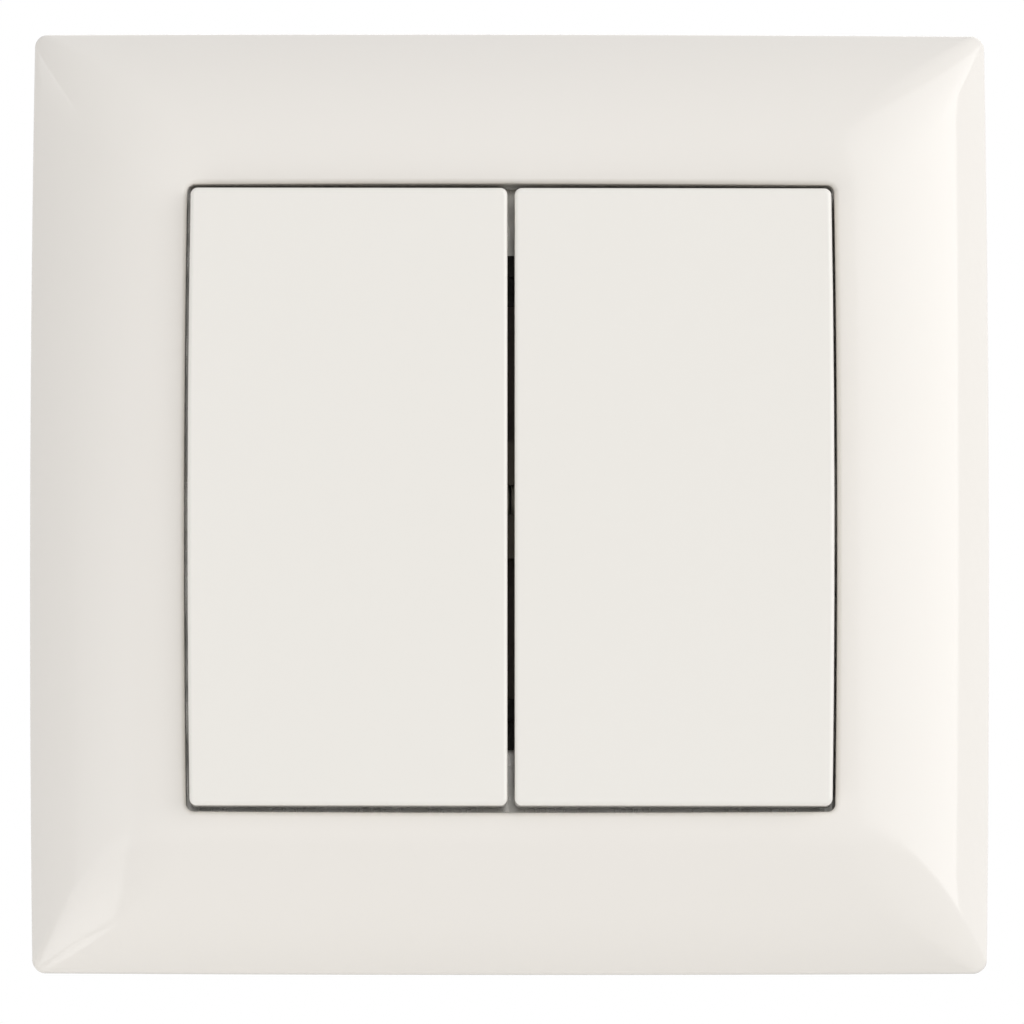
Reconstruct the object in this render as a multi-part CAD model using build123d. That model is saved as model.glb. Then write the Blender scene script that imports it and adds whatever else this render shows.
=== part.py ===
from build123d import *

import os
from math import cos, pi, radians, sin

# Two-gang rocker switch for a flush wall box, built as it comes apart on a bench.
#
# Everything is modelled lying on its back: x runs to the right, y up the wall and z out of the wall
# towards the hand, with z = 0 on the wall's surface and the origin between the box screws. At the end
# each piece is stood up, so that the face looks along -Y with +Z up. Lengths are in millimetres.

# Cover frame: one domed moulding, open at the back
frame_width = 82.0
frame_height = 80.6
frame_side_bow = 0.31
frame_end_bow = 0.12
frame_rim_height = 2.6
frame_lip_height = 8.8
frame_wall = 2.0
frame_corner_radius = 1.1
frame_corner_swell = 2.8
dome_start_degrees = 30.0
dome_bands = 14
hollow_bands = 5
lip_land = 0.7
lip_edge_radius = 0.45
rib_thickness = 1.0
rib_foot = 3.0
rib_offset = 22.0

# Window of the frame, and the collar that runs down from it to the steel ring
window_width = 55.5
window_height = 53.6
window_side_bow = 0.22
window_end_bow = 0.10
window_corner_radius = 0.65
collar_wall = 1.6

# Rockers: two hollow caps side by side in the window
rocker_side_gap = 0.30
rocker_end_gap = 0.52
rocker_split = 0.62
rocker_proud = 1.5
rocker_skirt = 6.0
rocker_wall = 1.6
rocker_corner_radius = 0.6
rocker_edge_radius = 0.35
pivot_depth = 6.2

# Clips that hold each rocker on its cradle
clip_thickness = 1.1
clip_width = 3.4
clip_clearance = 0.10
clip_barb = 0.6
clip_barb_height = 0.9
clip_spacing = 15.0
seat_rib = 1.2
skirt_notch_play = 0.9

# Cradles: the tilting levers that the rockers snap on to
cradle_length = 20.0
cradle_plate = 1.4
cradle_plate_rise = 0.8
trunnion_radius = 1.6
trunnion_gap = 0.10
hub_radius = 3.0
running_clearance = 0.05

# Plungers and their springs
plunger_radius = 1.8
plunger_length = 7.0
plunger_grip = 2.0
plunger_nose = 1.6
plunger_nose_radius = 0.4
plunger_spigot_radius = 0.75
plunger_spigot_length = 1.4
plunger_clearance = 0.06
tip_clearance = 0.08
spring_wire = 0.36
spring_turns = 4.0
bore_roof = 0.8

# Steel support ring
ring_thickness = 1.0
ring_margin = 3.5
ring_chamfer = 9.0
box_screw_spacing = 60.0
box_hole_radius = 1.8
box_head_radius = 3.3
box_head_height = 2.6
latch_tab_width = 8.0
latch_tab_height = 5.0
latch_tab_offset = 13.0
latch_clearance = 0.10
latch_nub_width = 4.6
latch_nub_height = 1.2
latch_nub_rise = 2.2
latch_play = 0.25

# Insert cover: the dark plate in front of the ring that carries the bearings
cover_plate = 1.6
cover_ledge = 1.5
cover_overlap = 1.5
cover_end_overlap = 4.0
cover_corner_radius = 3.0
spigot_wall = 1.3
spigot_clearance = 0.10
bearing_wall = 1.6
bearing_edge = 1.0
centre_bearing = 3.2
bearing_length = 10.0
bearing_above_axis = 1.8
bearing_side_gap = 0.4
snap_slot_width = 2.5
hub_opening_play = 1.6

# Insert base: the moulded body that sits in the wall box
base_width = 39.0
base_height = 42.0
base_depth = 20.0
base_wall = 1.6
base_floor = 6.0
base_corner_radius = 4.0
base_back_chamfer = 1.4
boss_radius = 2.8
boss_depth = 9.0

# Housing screws, countersunk in the cover
housing_screw_radius = 1.25
housing_screw_head_radius = 2.2
housing_screw_length = 8.0
housing_screw_inset = 2.0
fastener_clearance = 0.05
slot_width = 0.7
slot_depth = 0.7

# Moving contacts
contact_axis_depth = 10.0
contact_post_radius = 0.8
contact_saddle_clearance = 0.10
contact_sheet = 0.8
contact_width = 4.6
contact_end_gap = 0.6
contact_tip_radius = 1.5
contact_tip_height = 0.7
contact_post_width = 4.0
fixed_tip_height = 0.6
fixed_tip_chamfer = 0.35
contact_closed_gap = 0.08
contact_stop_gap = 0.15
contact_tilt = 9.5

# Terminals: brass strips, cage clamps and their screws
strip = 0.8
strip_spine_width = 10.0
output_strip_width = 5.0
cage_width = 7.0
cage_depth = 6.6
cage_height = 8.0
cage_wall = 1.0
cage_end_gap = 1.4
terminal_screw_radius = 1.45
terminal_head_radius = 2.3
terminal_head_height = 1.6
terminal_head_play = 0.25
wire_flare = 0.8

# Spreading claws, one at each side of the base
claw_screw_inset = 2.4
claw_screw_radius = 1.4
claw_head_radius = 2.7
claw_head_height = 1.7
claw_head_chamfer = 0.6
claw_collar_wall = 0.9
claw_collar_depth = 1.2
claw_pivot_reach = 3.1
claw_pivot_depth = 3.2
claw_pin_radius = 0.8
claw_pin_clearance = 0.06
claw_barrel_radius = 1.4
claw_sheet = 1.2
claw_width = 11.4
claw_length = 12.0
claw_spur = 2.0
claw_spur_width = 2.6
claw_lever_reach = 4.4
claw_lug = 1.0
claw_lug_gap = 0.4
claw_lug_reach = 1.6

# Levels above the wall and places that several pieces share
face_z = frame_lip_height + rocker_proud
ceiling_z = face_z - rocker_wall
pivot_z = face_z - pivot_depth
cover_z = ring_thickness + cover_plate
plate_z = pivot_z + cradle_plate_rise
seat_z = plate_z + cradle_plate
contact_z = -contact_axis_depth
saddle_radius = contact_post_radius + contact_saddle_clearance
saddle_top = contact_z + saddle_radius + contact_sheet
plunger_tip_z = saddle_top + tip_clearance
plunger_top_z = plunger_tip_z + plunger_length
bore_radius = plunger_radius + plunger_clearance
bore_top_z = pivot_z - bore_roof
hub_bottom_z = plunger_top_z - plunger_grip
floor_z = base_floor - base_depth
frame_inside_width = frame_width - 2 * frame_wall
frame_inside_height = frame_height - 2 * frame_wall
ring_width = frame_inside_width - 2 * ring_margin
ring_height = frame_inside_height - 2 * ring_margin
cover_width = base_width - 2 * cover_ledge
cover_height = base_height
ring_opening_width = cover_width - 2 * cover_overlap
ring_opening_height = cover_height - 2 * cover_end_overlap
side_wall_x = cover_width / 2 - bearing_edge - bearing_wall
cradle_inner_x = centre_bearing / 2 + bearing_side_gap
cradle_outer_x = side_wall_x - bearing_side_gap
cradle_width = cradle_outer_x - cradle_inner_x
gang_offset = (cradle_inner_x + cradle_outer_x) / 2
bearing_top_z = pivot_z + bearing_above_axis
latch_y = window_height / 2 + collar_wall + latch_clearance
latch_nub_z = ring_thickness + latch_nub_rise
housing_screw_y = ring_opening_height / 2 + housing_screw_inset
cage_y = base_height / 2 - base_wall - cage_end_gap - cage_depth / 2
cage_inner_y = cage_y - cage_depth / 2
contact_reach = cage_inner_y - strip - contact_end_gap
contact_point = contact_reach - contact_tip_radius
terminal_screw_z = floor_z + cage_height / 2
claw_screw_x = base_width / 2 + claw_screw_inset
claw_pivot_x = claw_screw_x + claw_pivot_reach
claw_pivot_z = -claw_pivot_depth

SIDES = {"left": -1, "right": 1}
BOTTOM = (Align.CENTER, Align.CENTER, Align.MIN)


def rod(radius, low, high, x=0, y=0):
    """A round bar along z."""
    return Pos(x, y, low) * Cylinder(radius, high - low, align=BOTTOM)


def cross_rod(radius, low, high, y=0, z=0):
    """A round bar along x."""
    return Pos(low, y, z) * Rot(0, 90, 0) * Cylinder(radius, high - low, align=BOTTOM)


def upright_rod(radius, low, high, x=0, z=0):
    """A round bar along y."""
    return Pos(x, low, z) * Rot(-90, 0, 0) * Cylinder(radius, high - low, align=BOTTOM)


def block(xs, ys, zs):
    """A box between pairs of limits."""
    centre = [sum(pair) / 2 for pair in (xs, ys, zs)]
    size = [abs(pair[1] - pair[0]) for pair in (xs, ys, zs)]
    return Pos(*centre) * Box(*size)


def prism(outline, low, high):
    """A flat outline drawn in x and y, raised from one level to another."""
    return Pos(0, 0, low) * extrude(outline, high - low)


def profile_across(points, low, high):
    """A closed profile drawn in y and z, extruded along x."""
    return Pos(low, 0, 0) * extrude(Plane.YZ * make_face(Polyline(points, close=True)), high - low)


def bowed_rectangle(width, height, side_bow, end_bow, corner_radius):
    """A rectangle with bulging sides and rounded corners, measured across the middle of its sides."""
    x, y = width / 2, height / 2
    corners = [(x - side_bow, y - end_bow), (side_bow - x, y - end_bow)]
    corners += [(-a, -b) for a, b in corners]
    middles = [(0, y), (-x, 0), (0, -y), (x, 0)]
    sides = [ThreePointArc(corners[i], middles[i], corners[(i + 1) % 4]) for i in range(4)]
    return fillet(make_face(sides).vertices(), corner_radius)


def window_outline(margin=0.0):
    """The window of the frame, grown by a margin all round."""
    return bowed_rectangle(
        window_width + 2 * margin,
        window_height + 2 * margin,
        window_side_bow,
        window_end_bow,
        window_corner_radius + margin,
    )


def frame_dome(depth, bands):
    """The frame's domed outer form, or the same form a wall's depth further in, in narrow bands."""
    land_width = window_width + 2 * lip_land
    land_height = window_height + 2 * lip_land
    land_radius = window_corner_radius + lip_land
    start = radians(dome_start_degrees)
    sections = []
    for i in range(bands + 1):
        turn = start + (pi / 2 - start) * i / bands
        inset = 1 - cos(turn) / cos(start)
        climb = (sin(turn) - sin(start)) / (1 - sin(start))
        width = frame_width - 2 * depth
        height = frame_height - 2 * depth
        outline = bowed_rectangle(
            width + (land_width - width) * inset,
            height + (land_height - height) * inset,
            frame_side_bow + (window_side_bow - frame_side_bow) * inset,
            frame_end_bow + (window_end_bow - frame_end_bow) * inset,
            frame_corner_radius
            + (land_radius - frame_corner_radius) * inset
            + frame_corner_swell * 4 * inset * (1 - inset),
        )
        rise = (frame_lip_height - depth - frame_rim_height) * climb
        sections.append(Pos(0, 0, frame_rim_height + rise) * outline)
    rim = extrude(sections[0], -frame_rim_height)
    return rim + loft(sections, ruled=True)


def latch_nubs(play):
    """The nubs on the collar that catch in the steel ring's tabs, or the tabs' windows for them."""
    out = latch_y + ring_thickness
    half = latch_nub_width / 2 + play
    nubs = [
        block(
            (x - half, x + half),
            (end * (latch_y - latch_clearance - collar_wall / 2), end * out),
            (latch_nub_z - play, latch_nub_z + latch_nub_height + play),
        )
        for x in (-latch_tab_offset, latch_tab_offset)
        for end in (-1, 1)
    ]
    return Part() + nubs


def box_screw_rods(radius, height):
    """Rods through the ring at the four places for box screws, up to a height above it."""
    reach = box_screw_spacing / 2
    places = [(reach, 0), (0, reach), (-reach, 0), (0, -reach)]
    return [rod(radius, 0, ring_thickness + height, x, y) for x, y in places]


def cover_frame():
    """The domed frame: window collar, latch nubs, ribs, and room for the heads of the box screws."""
    inside = frame_dome(frame_wall, hollow_bands)
    collar = prism(window_outline(collar_wall), ring_thickness, face_z) + latch_nubs(0)
    collar -= box_screw_rods(box_head_radius, box_head_height)
    half_rib = rib_thickness / 2
    ribs = [
        block((x - half_rib, x + half_rib), (-frame_height, frame_height), (rib_foot, face_z))
        for x in (-rib_offset, rib_offset)
    ]
    ribs += [
        block((-frame_width, frame_width), (y - half_rib, y + half_rib), (rib_foot, face_z))
        for y in (-rib_offset, rib_offset)
    ]
    shell = frame_dome(0, dome_bands) - (inside - [collar, *ribs]) - prism(window_outline(), 0, face_z)
    edge = shell.faces().filter_by(Axis.Z).sort_by(Axis.Z)[-1].inner_wires()[0].edges()
    return fillet(edge, lip_edge_radius)


def rocker_outline(margin=0.0):
    """The right-hand rocker seen from the front, shrunk by a margin all round."""
    near = rocker_split / 2 + margin
    far = window_width / 2 - rocker_side_gap - margin
    end = window_height / 2 - rocker_end_gap - margin
    sides = [
        Line((near, -end), (far - window_side_bow, -end)),
        ThreePointArc((far - window_side_bow, -end), (far, 0), (far - window_side_bow, end)),
        Polyline((far - window_side_bow, end), (near, end), (near, -end)),
    ]
    return fillet(make_face(sides).vertices(), rocker_corner_radius)


def rocker():
    """The right-hand rocker: a hollow cap with seat ribs and four clips for its cradle."""
    skirt_z = face_z - rocker_skirt
    cap = prism(rocker_outline(), skirt_z, face_z)
    cap = fillet(cap.faces().sort_by(Axis.Z)[-1].edges(), rocker_edge_radius)
    cap -= prism(rocker_outline(rocker_wall), skirt_z, ceiling_z)
    for x in (gang_offset - cradle_width / 4, gang_offset + cradle_width / 4):
        cap += block(
            (x - seat_rib / 2, x + seat_rib / 2),
            (-cradle_length / 2, cradle_length / 2),
            (seat_z, ceiling_z),
        )
    half_notch = bearing_length / 2 + skirt_notch_play
    cap -= block(
        (0, rocker_split / 2 + rocker_wall),
        (-half_notch, half_notch),
        (skirt_z, bearing_top_z + skirt_notch_play),
    )
    clip = rocker_clip()
    for y in (-clip_spacing / 2, clip_spacing / 2):
        for flip in (0, 180):
            cap += Pos(gang_offset, y, 0) * Rot(0, 0, flip) * clip
    return cap


def rocker_clip():
    """One clip leg with the barb that hooks under the cradle's plate, out at +x from its middle."""
    inner = cradle_width / 2 + clip_clearance
    barb_top = plate_z - clip_clearance
    points = [
        (inner, ceiling_z),
        (inner, barb_top),
        (inner - clip_barb, barb_top),
        (inner, barb_top - clip_barb_height),
        (inner + clip_thickness, barb_top - clip_barb_height),
        (inner + clip_thickness, ceiling_z),
    ]
    face = Plane.XZ * make_face(Polyline(points, close=True))
    return Pos(0, clip_width / 2, 0) * extrude(face, clip_width)


def cradle():
    """The right-hand tilting lever: plate, cross shaft and the hub that guides the plunger."""
    plate = prism(RectangleRounded(cradle_width, cradle_length, clip_barb), plate_z, seat_z)
    inner = trunnion_gap
    outer = side_wall_x + bearing_wall
    shaft = cross_rod(trunnion_radius, inner, outer, z=pivot_z)
    hub = rod(hub_radius, hub_bottom_z, seat_z, gang_offset)
    bore = rod(bore_radius, hub_bottom_z, bore_top_z, gang_offset)
    return Pos(gang_offset, 0, 0) * plate + shaft + hub - bore


def plunger():
    """The right-hand plunger: a pin with a tapered nose and a spigot for its spring."""
    nose = Cone(plunger_nose_radius, plunger_radius, plunger_nose, align=BOTTOM)
    pin = Pos(gang_offset, 0, plunger_tip_z) * nose
    pin += rod(plunger_radius, plunger_tip_z + plunger_nose, plunger_top_z, gang_offset)
    spigot_top = plunger_top_z + plunger_spigot_length
    return pin + rod(plunger_spigot_radius, plunger_top_z, spigot_top, gang_offset)


def plunger_spring():
    """The right-hand coil spring between the plunger and the roof of its bore."""
    length = bore_top_z - plunger_top_z
    mean_radius = bore_radius - plunger_clearance - spring_wire / 2
    rise = length - spring_wire
    path = Helix(rise / spring_turns, rise, mean_radius)
    wire = sweep(Plane(path @ 0, z_dir=path % 0) * RegularPolygon(spring_wire / 2, 6), path)
    return Pos(gang_offset, 0, plunger_top_z + spring_wire / 2) * wire


def insert_cover():
    """The dark plate that clamps the ring and carries the bearings of both cradles."""
    plate = prism(
        RectangleRounded(cover_width, cover_height, cover_corner_radius), ring_thickness, cover_z
    )
    spigot_width = ring_opening_width - 2 * spigot_clearance
    spigot_height = ring_opening_height - 2 * spigot_clearance
    plate += prism(Rectangle(spigot_width, spigot_height), 0, ring_thickness)
    plate -= prism(
        Rectangle(spigot_width - 2 * spigot_wall, spigot_height - 2 * spigot_wall), 0, ring_thickness
    )
    opening = 2 * (hub_radius + hub_opening_play)
    half = bearing_length / 2
    walls = [(-centre_bearing / 2, centre_bearing / 2)]
    for sign in SIDES.values():
        plate -= Pos(sign * gang_offset, 0, 0) * prism(
            RectangleRounded(opening, opening, hub_opening_play), ring_thickness, cover_z
        )
        walls.append((sign * side_wall_x, sign * (side_wall_x + bearing_wall)))
    for low, high in walls:
        plate += block((low, high), (-half, half), (cover_z, bearing_top_z))
    reach = side_wall_x + 2 * bearing_wall
    plate -= cross_rod(trunnion_radius + running_clearance, -reach, reach, z=pivot_z)
    plate -= block(
        (-reach, reach), (-snap_slot_width / 2, snap_slot_width / 2), (pivot_z, bearing_top_z)
    )
    return plate - housing_screws(fastener_clearance)


def housing_screws(clearance=0.0):
    """The two countersunk screws that pull cover, ring and base together, or the holes for them."""
    radius = housing_screw_radius + clearance
    head = housing_screw_head_radius + clearance
    cone = head - radius
    screws = Part()
    for end in (-1, 1):
        screw = rod(radius, cover_z - housing_screw_length - clearance, cover_z - cone)
        screw += Pos(0, 0, cover_z - cone) * Cone(radius, head, cone, align=BOTTOM)
        if not clearance:
            half_slot = slot_width / 2
            screw -= block((-head, head), (-half_slot, half_slot), (cover_z - slot_depth, cover_z))
        screws += Pos(0, end * housing_screw_y, 0) * screw
    return screws


def support_ring():
    """The stamped steel plate: box-screw holes, latch tabs, claw lugs and tapped collars."""
    outline = chamfer(Rectangle(ring_width, ring_height).vertices(), ring_chamfer)
    outline -= Rectangle(ring_opening_width, ring_opening_height)
    plate = prism(outline, 0, ring_thickness) - box_screw_rods(box_hole_radius, 0)
    half_tab = latch_tab_width / 2
    for x in (-latch_tab_offset, latch_tab_offset):
        for end in (-1, 1):
            plate += block(
                (x - half_tab, x + half_tab),
                (end * latch_y, end * (latch_y + ring_thickness)),
                (0, ring_thickness + latch_tab_height),
            )
    plate -= latch_nubs(latch_play)
    for sign in SIDES.values():
        collar_radius = claw_screw_radius + claw_collar_wall
        plate += rod(collar_radius, -claw_collar_depth, ring_thickness, sign * claw_screw_x)
        plate -= claw_screw(sign, fastener_clearance)
        plate += [claw_lug_at(sign, end) for end in (-1, 1)]
    return plate - housing_screws(fastener_clearance)


def claw_lug_at(sign, end):
    """One of the two lugs, bent back from the ring, that hold a claw's pin."""
    near = claw_width / 2 + claw_lug_gap
    x = sign * claw_pivot_x
    lug = block(
        (x - claw_lug_reach, x + claw_lug_reach),
        (end * near, end * (near + claw_lug)),
        (claw_pivot_z, 0),
    )
    y = end * (near + claw_lug / 2)
    lug += upright_rod(claw_lug_reach, y - claw_lug / 2, y + claw_lug / 2, x, claw_pivot_z)
    hole_radius = claw_pin_radius + claw_pin_clearance
    return lug - upright_rod(hole_radius, y - claw_lug, y + claw_lug, x, claw_pivot_z)


def claw_screw(sign, clearance=0.0):
    """The screw that pushes one claw out, or the tapped hole for it."""
    x = sign * claw_screw_x
    tip_z = claw_pivot_z + claw_sheet / 2 + fastener_clearance
    if clearance:
        return rod(claw_screw_radius + clearance, tip_z, ring_thickness, x)
    head_z = ring_thickness + claw_head_height
    screw = rod(claw_screw_radius, tip_z, ring_thickness, x)
    head = rod(claw_head_radius, ring_thickness, head_z, x)
    head = chamfer(head.edges().sort_by(Axis.Z)[-1], claw_head_chamfer)
    groove = block(
        (x - claw_head_radius, x + claw_head_radius),
        (-slot_width / 2, slot_width / 2),
        (head_z - slot_depth, head_z),
    )
    return screw + head - groove


def claw_pin(sign):
    """The pin that one claw swings on, flush with the ring's lugs."""
    end = claw_width / 2 + claw_lug_gap + claw_lug
    return upright_rod(claw_pin_radius, -end, end, sign * claw_pivot_x, claw_pivot_z)


def claw():
    """The right-hand claw: a curled barrel, a lever for its screw and an arm with two spurs."""
    half = claw_width / 2
    outer = claw_barrel_radius
    arm = [
        (outer - claw_sheet, 0),
        (outer, 0),
        (outer, -claw_length + claw_sheet),
        (outer + claw_spur, -claw_length),
        (outer - claw_sheet, -claw_length),
    ]
    lever = [
        (-claw_lever_reach, -claw_sheet / 2),
        (0, -claw_sheet / 2),
        (0, claw_sheet / 2),
        (-claw_lever_reach, claw_sheet / 2),
    ]
    plates = [
        Pos(0, half, 0) * extrude(Plane.XZ * make_face(Polyline(points, close=True)), claw_width)
        for points in (arm, lever)
    ]
    body = upright_rod(outer, -half, half) + plates
    gap = half - claw_spur_width
    body -= block((outer, outer + claw_spur), (-gap, gap), (-claw_length, 0))
    body -= upright_rod(claw_pin_radius + claw_pin_clearance, -half, half)
    return Pos(claw_pivot_x, 0, claw_pivot_z) * body


def insert_base():
    """The body in the wall box: an open tray with screw bosses, contact pads and wire entries."""
    outside = prism(RectangleRounded(base_width, base_height, base_corner_radius), -base_depth, 0)
    tray = chamfer(outside.faces().sort_by(Axis.Z)[0].edges(), base_back_chamfer)
    inner_radius = base_corner_radius - base_wall
    tray -= prism(
        RectangleRounded(base_width - 2 * base_wall, base_height - 2 * base_wall, inner_radius),
        floor_z,
        0,
    )
    wall_y = base_height / 2
    for end in (-1, 1):
        pad = Rot(0, 0, 90) * SlotOverall(4 * boss_radius, 2 * boss_radius)
        boss = prism(Pos(0, end * (housing_screw_y + boss_radius)) * pad, -boss_depth, 0)
        tray += boss & outside
    for sign in SIDES.values():
        x = sign * gang_offset
        rest = output_strip_width / 2 - strip
        tray += block(
            (x - rest, x + rest),
            (-cage_inner_y + strip, strip - contact_point),
            (floor_z, output_strip_z()),
        )
        tray += block(
            (x - rest, x + rest),
            (contact_point - strip, contact_point + strip),
            (floor_z, stop_z()),
        )
        for end in (-1, 1):
            tray -= wire_entry(x, end * cage_y)
            head_radius = terminal_head_radius + terminal_head_play
            inside, outside = sorted((end * (wall_y - 2 * base_wall), end * (wall_y + base_wall)))
            tray -= upright_rod(head_radius, inside, outside, x, terminal_screw_z)
    return tray - housing_screws(fastener_clearance)


def wire_entry(x, y):
    """A square way in through the base's floor for a wire, flared at the back."""
    width = cage_width - 2 * cage_wall
    depth = cage_depth - 2 * cage_wall
    throat = Rectangle(width, depth)
    mouth = Rectangle(width + 2 * wire_flare, depth + 2 * wire_flare)
    way = prism(throat, -base_depth, floor_z)
    way += loft([Pos(0, 0, -base_depth) * mouth, Pos(0, 0, wire_flare - base_depth) * throat])
    return Pos(x, y, 0) * way


def fall(y, height):
    """How far below the contact axis a point of the moving contact is when its end is fully down."""
    tilt = radians(contact_tilt)
    return y * sin(tilt) - height * cos(tilt)


def output_strip_z():
    """Level of the underside of the output strips, set by where the closed contact comes to."""
    underside = saddle_radius - contact_tip_height
    edge = contact_point + contact_tip_radius
    closed = contact_z - fall(edge, underside) - contact_closed_gap
    return closed - fixed_tip_height - strip


def stop_z():
    """Level of the pads that stop a moving contact's far end."""
    return contact_z - fall(contact_reach, saddle_radius) - contact_stop_gap


def moving_contact():
    """The right-hand see-saw of copper sheet, saddled over the common strip's post."""
    outer = saddle_radius + contact_sheet
    saddle = cross_rod(outer, 0, contact_width, z=contact_z)
    arms = block(
        (0, contact_width), (-contact_reach, contact_reach), (contact_z + saddle_radius, contact_z + outer)
    )
    body = saddle + arms - cross_rod(saddle_radius, 0, contact_width, z=contact_z)
    body -= block((0, contact_width), (-outer, outer), (contact_z - outer, contact_z))
    return Pos(gang_offset - contact_width / 2, 0, 0) * body


def moving_tip():
    """The silver disc under the see-saw's lower arm."""
    top = contact_z + saddle_radius
    return rod(contact_tip_radius, top - contact_tip_height, top, gang_offset, -contact_point)


def fixed_tip():
    """The chamfered silver rivet head on an output strip."""
    low = output_strip_z() + strip
    head = rod(contact_tip_radius, low, low + fixed_tip_height, gang_offset, -contact_point)
    return chamfer(head.edges().sort_by(Axis.Z)[-1], fixed_tip_chamfer)


def common_terminal():
    """The brass strip that feeds both see-saws: spine, two posts and the upstand at the cages."""
    half_spine = strip_spine_width / 2
    half_post = contact_post_width / 2
    span = gang_offset + half_post
    sheet_top = floor_z + strip
    spine = block((-half_spine, half_spine), (-contact_post_radius, cage_inner_y), (floor_z, sheet_top))
    foot = block((-span, span), (-2 * contact_post_radius, 2 * contact_post_radius), (floor_z, sheet_top))
    upstand = block(
        (-span, span), (cage_inner_y - strip, cage_inner_y), (floor_z, floor_z + cage_height)
    )
    body = spine + foot + upstand
    for sign in SIDES.values():
        x = sign * gang_offset
        body += block(
            (x - half_post, x + half_post),
            (-contact_post_radius, contact_post_radius),
            (sheet_top, contact_z),
        )
        body += cross_rod(contact_post_radius, x - half_post, x + half_post, z=contact_z)
    return body


def output_terminal():
    """The right-hand brass strip from the fixed contact to its cage."""
    low = output_strip_z()
    near = -cage_inner_y
    far = contact_tip_radius - contact_point
    points = [
        (near, low),
        (far, low),
        (far, low + strip),
        (near + strip, low + strip),
        (near + strip, floor_z + cage_height),
        (near, floor_z + cage_height),
    ]
    half = output_strip_width / 2
    return profile_across(points, gang_offset - half, gang_offset + half)


def terminal_cages():
    """Four square brass cages that take the wires."""
    tube = Rectangle(cage_width, cage_depth)
    tube -= Rectangle(cage_width - 2 * cage_wall, cage_depth - 2 * cage_wall)
    cages = Part()
    for x in (-gang_offset, gang_offset):
        for end in (-1, 1):
            cages += Pos(x, end * cage_y, 0) * prism(tube, floor_z, floor_z + cage_height)
    return cages - terminal_screws(fastener_clearance)


def terminal_screws(clearance=0.0):
    """The four screws that close the cages, or the tapped holes for them."""
    head_y = base_height / 2 - terminal_head_height
    tip_y = cage_y + cage_depth / 2 - cage_wall
    screw = upright_rod(terminal_screw_radius + clearance, tip_y, head_y)
    if not clearance:
        head = upright_rod(terminal_head_radius, head_y, head_y + terminal_head_height)
        groove = block(
            (-terminal_head_radius, terminal_head_radius),
            (head_y + terminal_head_height - slot_depth, head_y + terminal_head_height),
            (-slot_width / 2, slot_width / 2),
        )
        screw += head - groove
    screws = Part()
    for x in (-gang_offset, gang_offset):
        for turn in (0, 180):
            screws += Pos(x, 0, terminal_screw_z) * Rot(0, 0, turn) * screw
    return screws


def mirrored(shape, sign):
    """A right-hand piece, or its left-hand twin."""
    return shape if sign > 0 else mirror(shape, about=Plane.YZ)


def write(name, shape):
    """Stands a piece up against the wall and writes it out."""
    export_step(Rot(90, 0, 0) * shape, f"parts/{name}.step")


GANG_PIECES = {
    "rocker": rocker,
    "cradle": cradle,
    "plunger": plunger,
    "plunger_spring": plunger_spring,
    "moving_contact": moving_contact,
    "moving_contact_tip": moving_tip,
    "fixed_contact_tip": fixed_tip,
    "output_terminal": output_terminal,
    "claw": claw,
}
SHARED_PIECES = {
    "cover_frame": cover_frame,
    "insert_cover": insert_cover,
    "support_ring": support_ring,
    "insert_base": insert_base,
    "housing_screws": housing_screws,
    "common_terminal": common_terminal,
    "terminal_cages": terminal_cages,
    "terminal_screws": terminal_screws,
}

os.makedirs("parts", exist_ok=True)
for name, make in SHARED_PIECES.items():
    write(name, make())
for name, make in GANG_PIECES.items():
    right = make()
    for side, sign in SIDES.items():
        write(f"{side}_{name}", mirrored(right, sign))
for side, sign in SIDES.items():
    write(f"{side}_claw_screw", claw_screw(sign))
    write(f"{side}_claw_pin", claw_pin(sign))
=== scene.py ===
from math import acos, cos, pi, radians, sin

import bmesh
import bpy
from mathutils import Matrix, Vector


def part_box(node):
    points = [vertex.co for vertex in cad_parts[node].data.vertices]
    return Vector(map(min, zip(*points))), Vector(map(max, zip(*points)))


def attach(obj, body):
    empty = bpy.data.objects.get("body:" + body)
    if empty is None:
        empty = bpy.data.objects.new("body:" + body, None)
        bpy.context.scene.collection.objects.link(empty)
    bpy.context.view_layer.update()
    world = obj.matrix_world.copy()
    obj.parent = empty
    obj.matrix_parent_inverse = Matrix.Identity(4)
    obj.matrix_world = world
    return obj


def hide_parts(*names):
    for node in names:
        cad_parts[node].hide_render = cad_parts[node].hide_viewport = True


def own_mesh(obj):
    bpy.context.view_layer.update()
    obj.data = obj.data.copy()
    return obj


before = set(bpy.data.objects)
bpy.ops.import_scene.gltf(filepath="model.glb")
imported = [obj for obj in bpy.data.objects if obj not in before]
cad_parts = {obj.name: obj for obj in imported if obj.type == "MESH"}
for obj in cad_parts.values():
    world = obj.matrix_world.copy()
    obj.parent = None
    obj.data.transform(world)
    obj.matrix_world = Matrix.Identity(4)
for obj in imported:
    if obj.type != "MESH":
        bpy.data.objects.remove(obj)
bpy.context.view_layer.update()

# Cover frame: the domed surround, moulded in one piece from glossy off-white ABS. It is hollow behind,
# with a collar round its window that snaps into the steel ring and thin ribs that stiffen the flanks.
MM = 0.001
FRAME_WIDTH, FRAME_HEIGHT = 82.0, 80.6
FRAME_SIDE_BOW, FRAME_END_BOW = 0.31, 0.12
FRAME_RIM, FRAME_LIP, FRAME_WALL = 2.6, 8.8, 2.0
DOME_START = radians(30)
FRAME_CORNER, FRAME_CORNER_SWELL = 1.1, 2.8
WINDOW_WIDTH, WINDOW_HEIGHT, WINDOW_CORNER = 55.5, 53.6, 0.65
WINDOW_SIDE_BOW, WINDOW_END_BOW = 0.22, 0.10
LIP_LAND, LIP_ROUND = 0.7, 0.45
COLLAR_WALL, COLLAR_FOOT = 1.6, 1.0
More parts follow.
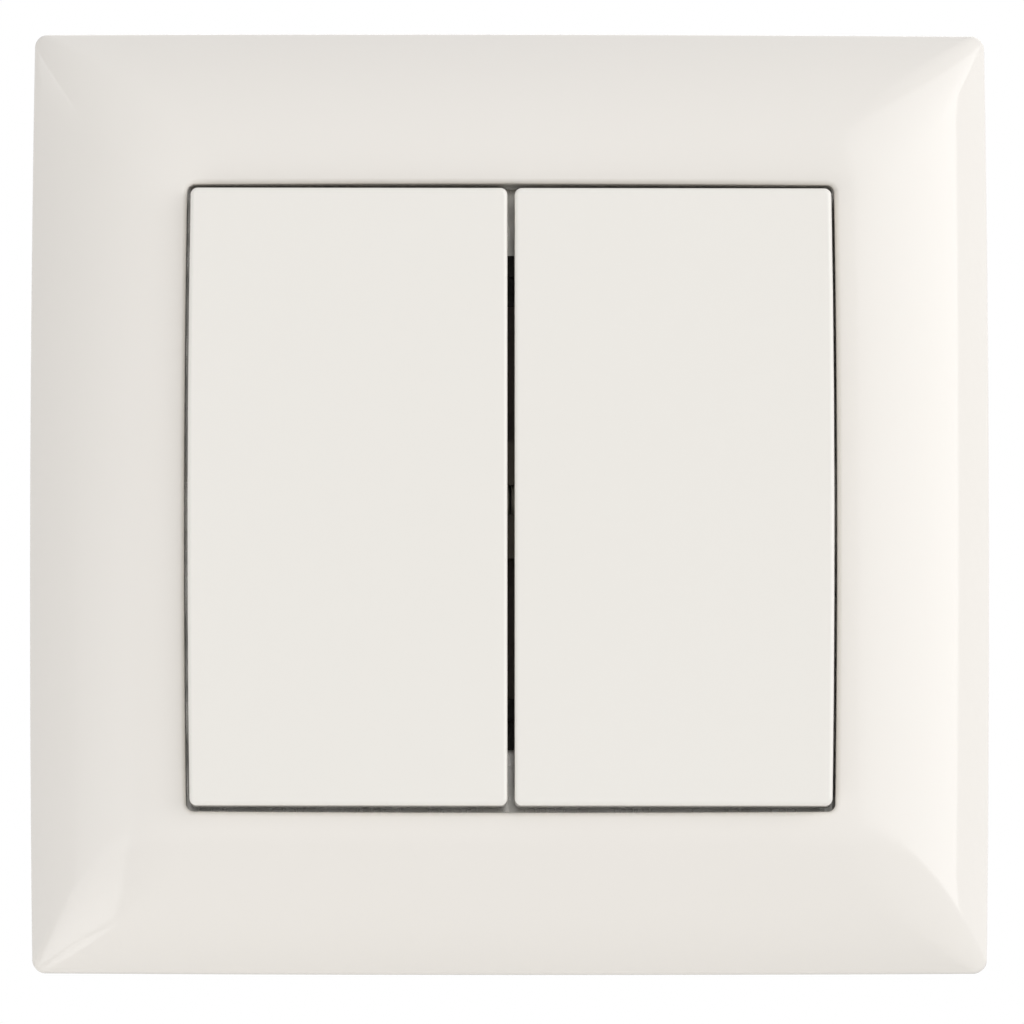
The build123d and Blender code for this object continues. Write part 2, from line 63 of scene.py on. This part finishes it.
HEAD_ROOM_WIDTH, HEAD_ROOM_HEIGHT = 6.0, 2.6
RIB_WIDTH, RIB_FOOT, RIB_OFFSET, RIB_BITE, RIB_STEPS = 1.0, 3.0, 22.0, 0.3, 8
NUB_WIDTH, NUB_FOOT, NUB_HEIGHT, NUB_OFFSET, NUB_REACH = 4.6, 3.2, 1.2, 13.0, 1.1
BACK_EDGE_ROUND, RIM_EDGE_ROUND = 0.2, 0.15
SIDE_POINTS, CORNER_POINTS = 36, 16
DOME_RINGS, HOLLOW_RINGS, LIP_RINGS = 48, 20, 8


def bowed_ring(width, height, side_bow, end_bow, corner, out):
    """Points round a bowed rectangle with round corners, at one distance from the wall."""
    half_x, half_z = width / 2, height / 2
    points = []
    for quarter in range(4):
        turn = quarter * pi / 2
        right = 1 if quarter in (0, 3) else -1
        up = 1 if quarter in (0, 1) else -1
        for i in range(CORNER_POINTS + 1):
            angle = turn + i / CORNER_POINTS * pi / 2
            x = right * (half_x - corner) + corner * cos(angle)
            z = up * (half_z - corner) + corner * sin(angle)
            points.append((x, z))
        x0, z0 = points[-1]
        x1 = x0 if quarter in (1, 3) else -x0
        z1 = z0 if quarter in (0, 2) else -z0
        for i in range(1, SIDE_POINTS):
            share = i / SIDE_POINTS
            points.append((x0 + (x1 - x0) * share, z0 + (z1 - z0) * share))
    bowed = [
        (x * (1 - side_bow / half_x * (z / half_z) ** 2), z * (1 - end_bow / half_z * (x / half_x) ** 2))
        for x, z in points
    ]
    return [(x * MM, -out * MM, z * MM) for x, z in bowed]


def window_ring(margin, out):
    """A ring that follows the window at a margin outside its edge."""
    return bowed_ring(
        WINDOW_WIDTH + 2 * margin, WINDOW_HEIGHT + 2 * margin,
        WINDOW_SIDE_BOW, WINDOW_END_BOW, WINDOW_CORNER + margin, out,
    )


def foot_ring(margin):
    """The collar's lower edge, stepped in the middle of each side to clear the head of a box screw."""
    half = HEAD_ROOM_WIDTH * MM / 2
    step = HEAD_ROOM_HEIGHT * MM
    level = window_ring(margin, COLLAR_FOOT)
    return [(x, y - step if min(abs(x), abs(z)) < half else y, z) for x, y, z in level]


def dome_rise(inset, wall):
    """The dome's distance from the wall, from the rim (inset 0) to the land round the window (inset 1)."""
    turn = acos((1 - inset) * cos(DOME_START))
    climb = (sin(turn) - sin(DOME_START)) / (1 - sin(DOME_START))
    return FRAME_RIM + (FRAME_LIP - wall - FRAME_RIM) * climb


def dome_inset(share):
    """How far in a ring lies, for an even share of the dome's turn from the rim to the land."""
    return 1 - cos(DOME_START + (pi / 2 - DOME_START) * share) / cos(DOME_START)


def dome_ring(inset, wall):
    """A ring on the dome, or on its hollow a wall's thickness further in."""
    width, height = FRAME_WIDTH - 2 * wall, FRAME_HEIGHT - 2 * wall
    corner_growth = (WINDOW_CORNER + LIP_LAND - FRAME_CORNER) * inset
    corner_swell = FRAME_CORNER_SWELL * 4 * inset * (1 - inset)
    return bowed_ring(
        width + (WINDOW_WIDTH + 2 * LIP_LAND - width) * inset,
        height + (WINDOW_HEIGHT + 2 * LIP_LAND - height) * inset,
        FRAME_SIDE_BOW + (WINDOW_SIDE_BOW - FRAME_SIDE_BOW) * inset,
        FRAME_END_BOW + (WINDOW_END_BOW - FRAME_END_BOW) * inset,
        FRAME_CORNER + corner_growth + corner_swell,
        dome_rise(inset, wall),
    )


def rim_ring(wall, out):
    """A ring on the upright rim, outside or a wall's thickness further in."""
    return bowed_ring(
        FRAME_WIDTH - 2 * wall, FRAME_HEIGHT - 2 * wall, FRAME_SIDE_BOW, FRAME_END_BOW, FRAME_CORNER, out
    )


def tube_faces(ring_count, ring_size, closed, first=0):
    """Faces that join each ring of points to the next; the last joins the first, or both are capped."""
    faces = []
    for r in range(ring_count if closed else ring_count - 1):
        here, there = r * ring_size, (r + 1) % ring_count * ring_size
        for i in range(ring_size):
            j = (i + 1) % ring_size
            faces.append((here + i, here + j, there + j, there + i))
    if not closed:
        last = (ring_count - 1) * ring_size
        faces += [tuple(reversed(range(ring_size))), tuple(range(last, last + ring_size))]
    return [tuple(first + i for i in face) for face in faces]


def add_strip(points, faces, stations):
    """Adds a closed strip through stations of four corners each, given in millimetres."""
    first = len(points)
    points += [(x * MM, -out * MM, z * MM) for station in stations for x, out, z in station]
    faces += tube_faces(len(stations), 4, closed=False, first=first)


def mesh_piece(name, points, faces, sharp_degrees=35):
    """A smooth-shaded piece whose edges stay crisp where its faces meet at a sharper angle."""
    shape = bmesh.new()
    corners = [shape.verts.new(p) for p in points]
    for face in faces:
        shape.faces.new([corners[i] for i in face]).smooth = True
    bmesh.ops.recalc_face_normals(shape, faces=shape.faces)
    mesh = bpy.data.meshes.new(name)
    shape.to_mesh(mesh)
    shape.free()
    mesh.set_sharp_from_angle(angle=radians(sharp_degrees))
    piece = bpy.data.objects.new(name, mesh)
    bpy.context.scene.collection.objects.link(piece)
    return piece


inner_half = FRAME_WIDTH / 2 - FRAME_WALL
land_half = WINDOW_WIDTH / 2 + LIP_LAND
collar_half = WINDOW_WIDTH / 2 + COLLAR_WALL
collar_inset = (inner_half - collar_half) / (inner_half - land_half)
edge_inset = RIM_EDGE_ROUND / 2 / (FRAME_WIDTH / 2 - land_half)

rings = [
    rim_ring(BACK_EDGE_ROUND, 0),
    rim_ring(0, BACK_EDGE_ROUND),
    rim_ring(0, FRAME_RIM - RIM_EDGE_ROUND),
    dome_ring(edge_inset, 0),
]
rings += [dome_ring(dome_inset(i / DOME_RINGS), 0) for i in range(1, DOME_RINGS + 1)]
for i in range(LIP_RINGS + 1):
    turn = i / LIP_RINGS * pi / 2
    rings.append(window_ring(LIP_ROUND * (1 - sin(turn)), FRAME_LIP - LIP_ROUND * (1 - cos(turn))))
rings += [foot_ring(0), foot_ring(COLLAR_WALL)]
for i in range(HOLLOW_RINGS + 1):
    rings.append(dome_ring(collar_inset * (1 - i / HOLLOW_RINGS), FRAME_WALL))
rings.append(rim_ring(FRAME_WALL, 0))
frame_points = [p for ring in rings for p in ring]
frame_faces = tube_faces(len(rings), len(rings[0]), closed=True)

for along_z in (False, True):
    window, outside = (WINDOW_HEIGHT, FRAME_HEIGHT) if along_z else (WINDOW_WIDTH, FRAME_WIDTH)
    near, far, land = window / 2 + COLLAR_WALL, outside / 2 - FRAME_WALL, window / 2 + LIP_LAND
    for end in (-1, 1):
        for middle in (-RIB_OFFSET, RIB_OFFSET):
            stations = []
            for i in range(RIB_STEPS + 1):
                reach = near - RIB_BITE + (far - near + 2 * RIB_BITE) * i / RIB_STEPS
                inset = min(max((far - reach) / (far - land), 0), 1)
                top = max(dome_rise(inset, FRAME_WALL), RIB_FOOT) + RIB_BITE
                across = ((-1, RIB_FOOT), (-1, top), (1, top), (1, RIB_FOOT))
                corners = [(middle + side * RIB_WIDTH / 2, out, end * reach) for side, out in across]
                stations.append(corners if along_z else [(z, out, x) for x, out, z in corners])
            add_strip(frame_points, frame_faces, stations)
        if along_z:
            foot, head = NUB_FOOT, NUB_FOOT + NUB_HEIGHT
            root, tip = near - RIB_BITE, near + NUB_REACH
            section = ((foot, root), (foot, tip), (head, tip), (head, root))
            for middle in (-NUB_OFFSET, NUB_OFFSET):
                sides = (middle - NUB_WIDTH / 2, middle + NUB_WIDTH / 2)
                stations = [[(x, out, end * reach) for out, reach in section] for x in sides]
                add_strip(frame_points, frame_faces, stations)

cover = mesh_piece("cover_frame_shell", frame_points, frame_faces)


def linear(hex_colour):
    """An sRGB hex colour as linear red, green, blue and full alpha."""
    values = [int(hex_colour[i:i + 2], 16) / 255 for i in (1, 3, 5)]
    return [v / 12.92 if v <= 0.04045 else ((v + 0.055) / 1.055) ** 2.4 for v in values] + [1.0]


def add(tree, kind, settings):
    """Adds a node; each setting is a property, a socket's value, or a (node, output) pair to link from."""
    node = tree.nodes.new(kind)
    for name, value in settings.items():
        is_socket = isinstance(name, int) or name in node.inputs
        if isinstance(value, tuple) and isinstance(value[0], bpy.types.Node):
            tree.links.new(value[0].outputs[value[1]], node.inputs[name])
        elif is_socket:
            node.inputs[name].default_value = value
        else:
            setattr(node, name, value)
    return node


def empty_material(name):
    """A material with nothing but its output node."""
    material = bpy.data.materials.new(name)
    material.use_nodes = True
    material.node_tree.nodes.clear()
    return material, material.node_tree, add(material.node_tree, "ShaderNodeOutputMaterial", {})


# Where a Mix node takes its factor and two colours, and where it gives the mixed colour.
MIX_FACTOR, MIX_FIRST, MIX_SECOND, MIX_RESULT = 0, 6, 7, 2
CLOUD_DETAIL, GRAIN_DETAIL, GRAIN_GLOSS_SPREAD = 3.0, 2.0, 0.15


def moulded_plastic(name, tint, shade, roughness, ior, cloud_mm, grain_mm, grain_depth_mm):
    """Plastic from a mould: faint clouds of colour, and the tool's grain in gloss and relief."""
    material, tree, output = empty_material(name)
    place = add(tree, "ShaderNodeTexCoord", {})
    cloud = add(tree, "ShaderNodeTexNoise", {
        "Vector": (place, "Object"), "Scale": 1 / (cloud_mm * MM), "Detail": CLOUD_DETAIL,
    })
    grain = add(tree, "ShaderNodeTexNoise", {
        "Vector": (place, "Object"), "Scale": 1 / (grain_mm * MM), "Detail": GRAIN_DETAIL,
    })
    colour = add(tree, "ShaderNodeMix", {
        "data_type": "RGBA", MIX_FACTOR: (cloud, "Fac"),
        MIX_FIRST: linear(tint), MIX_SECOND: linear(shade),
    })
    gloss = add(tree, "ShaderNodeMapRange", {
        "Value": (grain, "Fac"),
        "To Min": roughness * (1 - GRAIN_GLOSS_SPREAD), "To Max": roughness * (1 + GRAIN_GLOSS_SPREAD),
    })
    relief = add(tree, "ShaderNodeBump", {
        "Height": (grain, "Fac"), "Strength": 1.0, "Distance": grain_depth_mm * MM,
    })
    shader = add(tree, "ShaderNodeBsdfPrincipled", {
        "Base Color": (colour, MIX_RESULT), "Roughness": (gloss, "Result"), "Normal": (relief, "Normal"),
        "IOR": ior,
    })
    tree.links.new(shader.outputs["BSDF"], output.inputs["Surface"])
    return material


# Polished tool, so the ABS comes out glossy; only a trace of sink and flow softens the reflections.
off_white_abs = moulded_plastic(
    "off_white_abs", "#efebe6", "#eeeae4", roughness=0.09, ior=1.54, cloud_mm=30, grain_mm=3.0,
    grain_depth_mm=0.0008,
)
cover.data.materials.append(off_white_abs)
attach(cover, "housing")
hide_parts("cover_frame")


# Rockers: two hollow caps of the same off-white ABS, side by side in the window, a touch more satin from
# handling. Each is clipped over its cradle and tilts with it.
def finish_nodes(material, *names):
    """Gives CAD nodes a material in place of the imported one."""
    for name in names:
        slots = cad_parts[name].data.materials
        slots.clear()
        slots.append(material)


handled_off_white_abs = moulded_plastic(
    "handled_off_white_abs", "#efece7", "#eeebe5", roughness=0.18, ior=1.54, cloud_mm=40, grain_mm=3.0,
    grain_depth_mm=0.0008,
)
finish_nodes(handled_off_white_abs, "left_rocker", "right_rocker")

# Cradles: tilting levers of natural nylon, moulded with the cross shaft that turns in the insert's
# bearings. The nylon is milky and has a soft sheen.
natural_nylon = moulded_plastic(
    "natural_nylon", "#dcd6c6", "#d2cbb9", roughness=0.42, ior=1.53, cloud_mm=6, grain_mm=0.4,
    grain_depth_mm=0.004,
)
finish_nodes(natural_nylon, "left_cradle", "right_cradle")

# Plungers: turned pins of white acetal that slide in the cradles and push the contacts over.
# Acetal is smooth and slightly waxy.
white_acetal = moulded_plastic(
    "white_acetal", "#e8e7e2", "#e0dfd9", roughness=0.32, ior=1.48, cloud_mm=4, grain_mm=0.25,
    grain_depth_mm=0.002,
)
finish_nodes(white_acetal, "left_plunger", "right_plunger")


# Plunger springs: coils of steel wire between the plunger and the roof of its bore, with a closed turn at
# each end. The real springs shorten as the plunger goes in; these are built once, at the length of the CAD
# springs, and move with their rockers. Drawn wire is a bright grey, with fine lines from the die.
PATCH_SOFTNESS, LINES_DETAIL = 0.4, 3.0
LINES_FAINT, LINES_STRONG, LINES_GLOSS_SPREAD, LINES_DEPTH = 0.3, 0.7, 0.3, 0.002


def worked_metal(name, tint, shade, roughness, patch_mm, lines_mm, stretch):
    """Bare or plated metal: patches of tone, and fine lines left by drawing, stamping or turning."""
    material, tree, output = empty_material(name)
    place = add(tree, "ShaderNodeTexCoord", {})
    patch = add(tree, "ShaderNodeTexVoronoi", {
        "Vector": (place, "Object"), "Scale": 1 / (patch_mm * MM), "feature": "SMOOTH_F1",
        "Smoothness": PATCH_SOFTNESS,
    })
    laid = add(tree, "ShaderNodeMapping", {"Vector": (place, "Object"), "Scale": stretch})
    lines = add(tree, "ShaderNodeTexNoise", {
        "Vector": (laid, "Vector"), "Scale": 1 / (lines_mm * MM), "Detail": LINES_DETAIL,
    })
    colour = add(tree, "ShaderNodeMix", {
        "data_type": "RGBA", MIX_FACTOR: (patch, "Distance"),
        MIX_FIRST: linear(tint), MIX_SECOND: linear(shade),
    })
    gloss = add(tree, "ShaderNodeMapRange", {
        "Value": (lines, "Fac"), "From Min": LINES_FAINT, "From Max": LINES_STRONG,
        "To Min": roughness * (1 - LINES_GLOSS_SPREAD), "To Max": roughness * (1 + LINES_GLOSS_SPREAD),
    })
    relief = add(tree, "ShaderNodeBump", {
        "Height": (lines, "Fac"), "Strength": 1.0, "Distance": LINES_DEPTH * MM,
    })
    shader = add(tree, "ShaderNodeBsdfPrincipled", {
        "Base Color": (colour, MIX_RESULT), "Roughness": (gloss, "Result"), "Normal": (relief, "Normal"),
        "Metallic": 1.0,
    })
    tree.links.new(shader.outputs["BSDF"], output.inputs["Surface"])
    return material


SPRING_WIRE, SPRING_TURNS, SPRING_END_TURNS = 0.36, 6.0, 1.0
WIRE_SIDES, STEPS_PER_TURN = 12, 40
drawn_spring_steel = worked_metal(
    "drawn_spring_steel", "#b9b9b8", "#a3a3a2", roughness=0.3, patch_mm=1.2, lines_mm=0.2,
    stretch=(1, 0.2, 1),
)


def coil_spring(name, low, high):
    """A round-wire spring that fills the box between two corners, with its axis along Y."""
    wire = SPRING_WIRE * MM / 2
    middle = (low + high) / 2
    radius = (high.x - low.x) / 2 - wire
    length = high.y - low.y - 2 * wire
    free_turns = SPRING_TURNS - 2 * SPRING_END_TURNS
    end_rise = 2 * wire * SPRING_END_TURNS
    count = int(SPRING_TURNS * STEPS_PER_TURN)
    points = []
    for i in range(count + 1):
        turns = i / STEPS_PER_TURN
        free = min(max(turns - SPRING_END_TURNS, 0), free_turns)
        closed = turns - free
        rise = closed / SPRING_END_TURNS * end_rise + free / free_turns * (length - 2 * end_rise)
        angle = turns * 2 * pi
        out = Vector((cos(angle), 0, sin(angle)))
        centre = Vector((middle.x, low.y + wire + rise, middle.z)) + out * radius
        for k in range(WIRE_SIDES):
            around = k / WIRE_SIDES * 2 * pi
            points.append(centre + wire * (out * cos(around) + Vector((0, sin(around), 0))))
    return mesh_piece(name, points, tube_faces(count + 1, WIRE_SIDES, closed=False))


for side in ("left", "right"):
    low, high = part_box(f"{side}_plunger_spring")
    spring = coil_spring(f"{side}_plunger_coil", low, high)
    spring.data.materials.append(drawn_spring_steel)
    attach(spring, f"{side}_rocker")
    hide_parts(f"{side}_plunger_spring")
    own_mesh(spring)

# Insert cover: the plate that clamps the ring and carries the bearings, moulded in warm grey polycarbonate
# with a fine spark-eroded texture. It is what shows, nearly black, deep in the gap between the rockers.
warm_grey_polycarbonate = moulded_plastic(
    "warm_grey_polycarbonate", "#8f8474", "#81776a", roughness=0.5, ior=1.585, cloud_mm=8, grain_mm=0.3,
    grain_depth_mm=0.01,
)
finish_nodes(warm_grey_polycarbonate, "insert_cover")

# Support ring: stamped from hot-dip galvanised sheet, with the tabs and lugs bent out of it. The zinc sets
# in pale crystals a few millimetres across.
galvanised_steel = worked_metal(
    "galvanised_steel", "#d2cfca", "#bcb9b2", roughness=0.3, patch_mm=4, lines_mm=0.5, stretch=(1, 1, 0.15)
)
finish_nodes(galvanised_steel, "support_ring")

# Insert base: the body in the wall box, pressed from grey urea with a dull, slightly mottled skin.
# The two housing screws pull it up against the ring.
pressed_grey_urea = moulded_plastic(
    "pressed_grey_urea", "#b3b4b3", "#a6a8a8", roughness=0.55, ior=1.55, cloud_mm=5, grain_mm=0.35,
    grain_depth_mm=0.012,
)
finish_nodes(pressed_grey_urea, "insert_base")

# Housing screws: two countersunk screws that pull cover, ring and base together, black passivated so that
# nothing glints in the gap between the rockers.
black_passivated_steel = worked_metal(
    "black_passivated_steel", "#3b3936", "#2b2a28", roughness=0.42, patch_mm=2.5, lines_mm=0.25,
    stretch=(1, 0.3, 1),
)
finish_nodes(black_passivated_steel, "housing_screws")

# Terminal screws, claws, claw screws and claw pins: small steel pieces, barrel plated with zinc, which has
# a cool, slightly cloudy shine. The claws are bent from sheet and swing out on their pins when their screws
# are driven in.
bright_zinc_plate = worked_metal(
    "bright_zinc_plate", "#c9cbce", "#b3b6ba", roughness=0.27, patch_mm=2.5, lines_mm=0.25,
    stretch=(1, 0.3, 1),
)
finish_nodes(bright_zinc_plate, "terminal_screws")
for side in ("left", "right"):
    finish_nodes(bright_zinc_plate, f"{side}_claw", f"{side}_claw_screw", f"{side}_claw_pin")

# Terminals and contacts: strips and cages stamped from brass, see-saws of rolled copper, and silver faces
# riveted on where the current is made and broken. Rolling leaves fine lines in the brass and the copper,
# and the silver is paler and even.
stamped_brass = worked_metal(
    "stamped_brass", "#d5b06a", "#bf9850", roughness=0.3, patch_mm=3, lines_mm=0.3, stretch=(0.2, 1, 1)
)
rolled_copper = worked_metal(
    "rolled_copper", "#d08f6c", "#b9744f", roughness=0.32, patch_mm=3, lines_mm=0.3, stretch=(1, 1, 0.2)
)
contact_silver = worked_metal(
    "contact_silver", "#dcdad4", "#c9c6be", roughness=0.25, patch_mm=1.5, lines_mm=0.2, stretch=(1, 1, 1)
)
finish_nodes(stamped_brass, "common_terminal", "terminal_cages")
for side in ("left", "right"):
    finish_nodes(stamped_brass, f"{side}_output_terminal")
    finish_nodes(rolled_copper, f"{side}_moving_contact")
    finish_nodes(contact_silver, f"{side}_moving_contact_tip", f"{side}_fixed_contact_tip")

# Floor: a wide sheet of pale matt board below the switch, which hangs clear of it as it would on a wall.
# It takes the soft shadow.
FLOOR_DROP, FLOOR_HALF = 0.6, 4.0
corners = [(x, y, -FLOOR_DROP) for x, y in ((-1, -1), (1, -1), (1, 1), (-1, 1))]
floor = mesh_piece("floor", [(x * FLOOR_HALF, y * FLOOR_HALF, z) for x, y, z in corners], [(0, 1, 2, 3)])
pale_matt_board = moulded_plastic(
    "pale_matt_board", "#f2f1ef", "#eeedea", roughness=0.8, ior=1.45, cloud_mm=200, grain_mm=1.5,
    grain_depth_mm=0.02,
)
floor.data.materials.append(pale_matt_board)


# Light: a softbox to the right of the camera, weaker ones low on its left and under the left corner, a
# strip far out on the left, and one behind. The fill all round is a little brighter from the right. The
# frame mirrors the lamps as the bands on its flanks and the leaf in its lower left corner.
def softbox(name, azimuth, elevation, distance, width, height, radiance, across=(1, 1), upward=(1, 1)):
    """A lamp that faces the switch, with its angles seen from the switch, right and up positive.

    Its brightness follows the shares given across its width, from left to right, and up its height.
    """
    turn, lift = radians(azimuth), radians(elevation)
    place = distance * Vector((sin(turn) * cos(lift), -cos(turn) * cos(lift), sin(lift)))
    lamp = bpy.data.lights.new(name, "AREA")
    lamp.shape, lamp.size, lamp.size_y = "RECTANGLE", width, height
    lamp.energy = radiance * pi * width * height
    lamp.use_nodes = True
    tree = lamp.node_tree
    tree.nodes.clear()
    surface = add(tree, "ShaderNodeNewGeometry", {})
    spread = add(tree, "ShaderNodeSeparateXYZ", {0: (surface, "Parametric")})
    ramps = []
    for axis, shares in (("X", across), ("Y", upward)):
        ramp = add(tree, "ShaderNodeValToRGB", {0: (spread, axis)})
        stops = ramp.color_ramp.elements
        for i, share in enumerate(shares):
            position = i / (len(shares) - 1)
            stop = stops[i] if i < 2 else stops.new(position)
            stop.position = position
            stop.color = (share, share, share, 1)
        ramps.append(ramp)
    dimmed = add(tree, "ShaderNodeMath", {
        "operation": "MULTIPLY", 0: (ramps[0], "Color"), 1: (ramps[1], "Color"),
    })
    glow = add(tree, "ShaderNodeEmission", {"Strength": (dimmed, "Value")})
    add(tree, "ShaderNodeOutputLight", {"Surface": (glow, "Emission")})
    holder = bpy.data.objects.new(name, lamp)
    holder.location = place
    holder.rotation_mode = "QUATERNION"
    holder.rotation_quaternion = (-place).to_track_quat("-Z", "Y")
    holder.visible_camera = False
    bpy.context.scene.collection.objects.link(holder)


softbox(
    "right_softbox", azimuth=46, elevation=18, distance=0.6, width=0.8, height=0.54, radiance=2.1,
    across=(0.3, 1), upward=(0.8, 1, 0.6),
)
softbox(
    "left_softbox", azimuth=-47, elevation=-20, distance=0.7, width=0.52, height=0.72, radiance=1.3,
    across=(0.8, 1, 0.8), upward=(1, 1, 0.7, 0),
)
softbox(
    "low_softbox", azimuth=-90, elevation=-71, distance=0.5, width=0.6, height=0.18, radiance=0.95,
    across=(0, 0, 1, 1),
)
softbox(
    "left_strip", azimuth=-80, elevation=13, distance=0.7, width=0.6, height=0.1, radiance=1.6,
    across=(0.6, 1, 0), upward=(0, 1, 0),
)
softbox("back_softbox", azimuth=165, elevation=35, distance=1.4, width=1.2, height=1.0, radiance=0.6)

world = bpy.data.worlds.new("studio")
bpy.context.scene.world = world
world.use_nodes = True
sky = world.node_tree
sky.nodes.clear()
FILL, FILL_TILT = 0.667, 0.36
path = add(sky, "ShaderNodeLightPath", {})
mirrored = add(sky, "ShaderNodeMath", {
    "operation": "MAXIMUM", 0: (path, "Is Glossy Ray"), 1: (path, "Is Transmission Ray"),
})
shown = add(sky, "ShaderNodeMath", {
    "operation": "MAXIMUM", 0: (path, "Is Camera Ray"), 1: (mirrored, "Value"),
})
around = add(sky, "ShaderNodeTexCoord", {})
toward = add(sky, "ShaderNodeSeparateXYZ", {0: (around, "Generated")})
level = add(sky, "ShaderNodeMapRange", {
    "Value": (toward, "X"), "From Min": -1.0, "From Max": 1.0,
    "To Min": FILL * (1 - FILL_TILT), "To Max": FILL * (1 + FILL_TILT),
})
fill = add(sky, "ShaderNodeBackground", {"Color": linear("#ffffff"), "Strength": (level, "Result")})
white = add(sky, "ShaderNodeBackground", {"Color": linear("#ffffff"), "Strength": 1.0})
mixed = add(sky, "ShaderNodeMixShader", {
    0: (shown, "Value"), 1: (fill, "Background"), 2: (white, "Background"),
})
add(sky, "ShaderNodeOutputWorld", {"Surface": (mixed, "Shader")})

# Camera: a long lens a metre away, a little below the middle of the switch and to its left, so that the
# window sits slightly high and to the right in the frame.
CAMERA_DISTANCE, CAMERA_LENS, CAMERA_SENSOR = 1.0, 411.0, 36.0
CAMERA_DROP_DEGREES, CAMERA_LEFT_DEGREES = 4.3, 0.8
AIM = Vector((0.19, -2.0, -0.75)) * MM
camera = bpy.data.objects.new("camera", bpy.data.cameras.new("camera"))
camera.data.lens = CAMERA_LENS
camera.data.sensor_width = CAMERA_SENSOR
drop, left = radians(CAMERA_DROP_DEGREES), radians(CAMERA_LEFT_DEGREES)
toward_camera = Vector((-sin(left) * cos(drop), -cos(left) * cos(drop), -sin(drop)))
camera.location = AIM + CAMERA_DISTANCE * toward_camera
camera.rotation_mode = "QUATERNION"
camera.rotation_quaternion = (AIM - camera.location).to_track_quat("-Z", "Y")
bpy.context.scene.collection.objects.link(camera)
bpy.context.scene.camera = camera
bpy.context.scene.view_settings.view_transform = "Standard"
